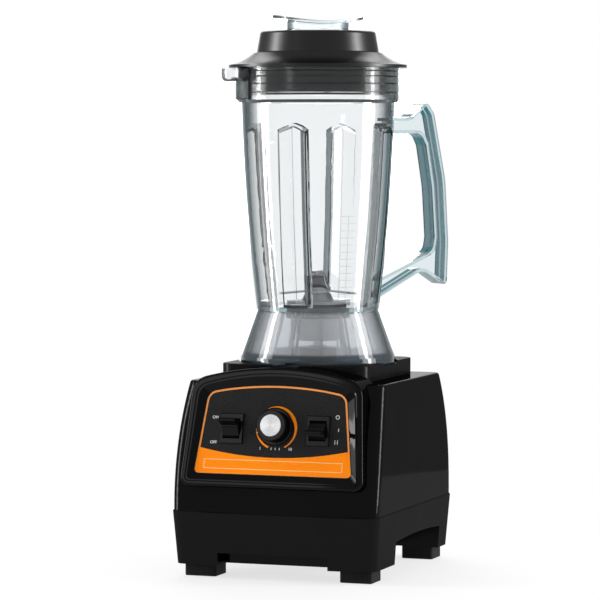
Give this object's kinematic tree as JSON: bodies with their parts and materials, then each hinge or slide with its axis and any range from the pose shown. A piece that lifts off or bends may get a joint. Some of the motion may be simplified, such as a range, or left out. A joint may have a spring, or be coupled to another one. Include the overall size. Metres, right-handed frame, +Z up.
{
  "type": "countertop blender",
  "caption": "Countertop blender: black motor base with leaning control panel, clear fluted jug with open handle, black lid and clear measuring cup.",
  "frame": {"origin": "on the surface the feet stand on, under the middle of the whole outline", "axes": "+Z up, -Y is the front with the control panel, +X to the viewer's right"},
  "size_m": [0.2029, 0.2421, 0.52],
  "materials": {
    "base_plastic": "satin black moulded ABS",
    "housing_plastic": "polished black ABS",
    "rubber": "black rubber",
    "steel": "machined stainless steel",
    "panel_plastic": "fine textured charcoal",
    "label_film": "fine speckled charcoal film with an orange border",
    "switch_plastic": "black nylon",
    "board": "green circuit board",
    "aluminium": "cast aluminium",
    "capacitor": "blue sleeve",
    "nylon": "natural nylon",
    "pad_plastic": "satin black",
    "lamination": "stacked steel laminations",
    "copper": "enamelled copper",
    "carbon": "pressed carbon",
    "coupling": "hard black nylon",
    "spun_aluminium": "spun face with fine rings",
    "clear_plastic": "clear polycarbonate",
    "lid_plastic": "black moulded lid"
  },
  "bodies": {
    "base": {"lower_base": "base_plastic", "bottom_cover": "base_plastic", "rubber_feet": "rubber", "foot_screws": "steel", "housing_screws": "steel", "upper_housing": "housing_plastic", "control_panel": "panel_plastic", "panel_label": "label_film", "power_switch_body": "switch_plastic", "pulse_switch_body": "switch_plastic", "pot_body": "switch_plastic", "pot_nut": "steel", "control_board": "board", "board_heat_sink": "aluminium", "board_capacitor": "capacitor", "terminal_block": "nylon", "cord_bush": "rubber", "reset_switch_body": "switch_plastic", "jar_pad": "pad_plastic", "pad_screws": "steel", "stator_core": "lamination", "field_coils": "copper", "lower_motor_bracket": "aluminium", "upper_motor_bracket": "aluminium", "motor_bearings": "steel", "motor_bolts": "steel", "motor_isolators": "rubber", "motor_spacers": "steel", "air_duct": "nylon", "brush_holders": "nylon", "carbon_brushes": "carbon"},
    "rotor": {"motor_shaft": "steel", "armature_core": "lamination", "armature_windings": "copper", "commutator": "copper", "cooling_fan": "nylon", "drive_socket": "coupling"},
    "speed_knob": {"speed_knob": "switch_plastic", "knob_cap": "spun_aluminium", "pot_shaft": "steel"},
    "power_rocker": {"power_rocker": "switch_plastic"},
    "pulse_rocker": {"pulse_rocker": "switch_plastic"},
    "reset_button": {"reset_button": "switch_plastic"},
    "jug": {"jug": "clear_plastic", "jug_handle": "clear_plastic", "blade_holder": "aluminium", "blade_bearings": "steel", "shaft_seal": "rubber", "blade_gasket": "rubber", "lock_nut": "pad_plastic"},
    "blade_set": {"blade_shaft": "steel", "drive_spline": "steel", "blades": "steel", "blade_spacers": "steel", "blade_nut": "steel"},
    "lid": {"lid": "lid_plastic", "lid_gasket": "rubber"},
    "measuring_cup": {"measuring_cup": "clear_plastic"}
  },
  "joints": [
    {"name": "motor_spin", "type": "hinge", "parent": "base", "child": "rotor", "pos_m": [0, 0.013, 0.12], "axis": [0, 0, 1], "continuous": true},
    {"name": "speed_turn", "type": "hinge", "parent": "base", "child": "speed_knob", "pos_m": [0, -0.10787, 0.14229], "axis": [0, -0.9799, 0.1994], "range_deg": [-252, 48]},
    {"name": "power_rock", "type": "hinge", "parent": "base", "child": "power_rocker", "pos_m": [-0.042, -0.1001, 0.13785], "axis": [1, 0, 0], "range_deg": [0, 40]},
    {"name": "pulse_rock", "type": "hinge", "parent": "base", "child": "pulse_rocker", "pos_m": [0.042, -0.1001, 0.13785], "axis": [1, 0, 0], "range_deg": [-30, 10], "stiffness_Nm_per_rad": 0.08},
    {"name": "reset_press", "type": "slide", "parent": "base", "child": "reset_button", "axis": [0, -1, 0], "range_m": [0, 0.0018], "stiffness_N_per_m": 400},
    {"name": "jug_lift", "type": "slide", "parent": "base", "child": "jug", "axis": [0, 0, 1], "range_m": [0, 0.09]},
    {"name": "blade_spin", "type": "hinge", "parent": "jug", "child": "blade_set", "pos_m": [0, 0.013, 0.26], "axis": [0, 0, 1], "continuous": true},
    {"name": "lid_lift", "type": "slide", "parent": "jug", "child": "lid", "axis": [0, 0, 1], "range_m": [0, 0.05]},
    {"name": "cup_lift", "type": "slide", "parent": "lid", "child": "measuring_cup", "axis": [0, 0, 1], "range_m": [0, 0.06]}
  ],
  "couplings": [
    {"joint": "blade_spin", "follows": "motor_spin", "ratio": 1}
  ]
}
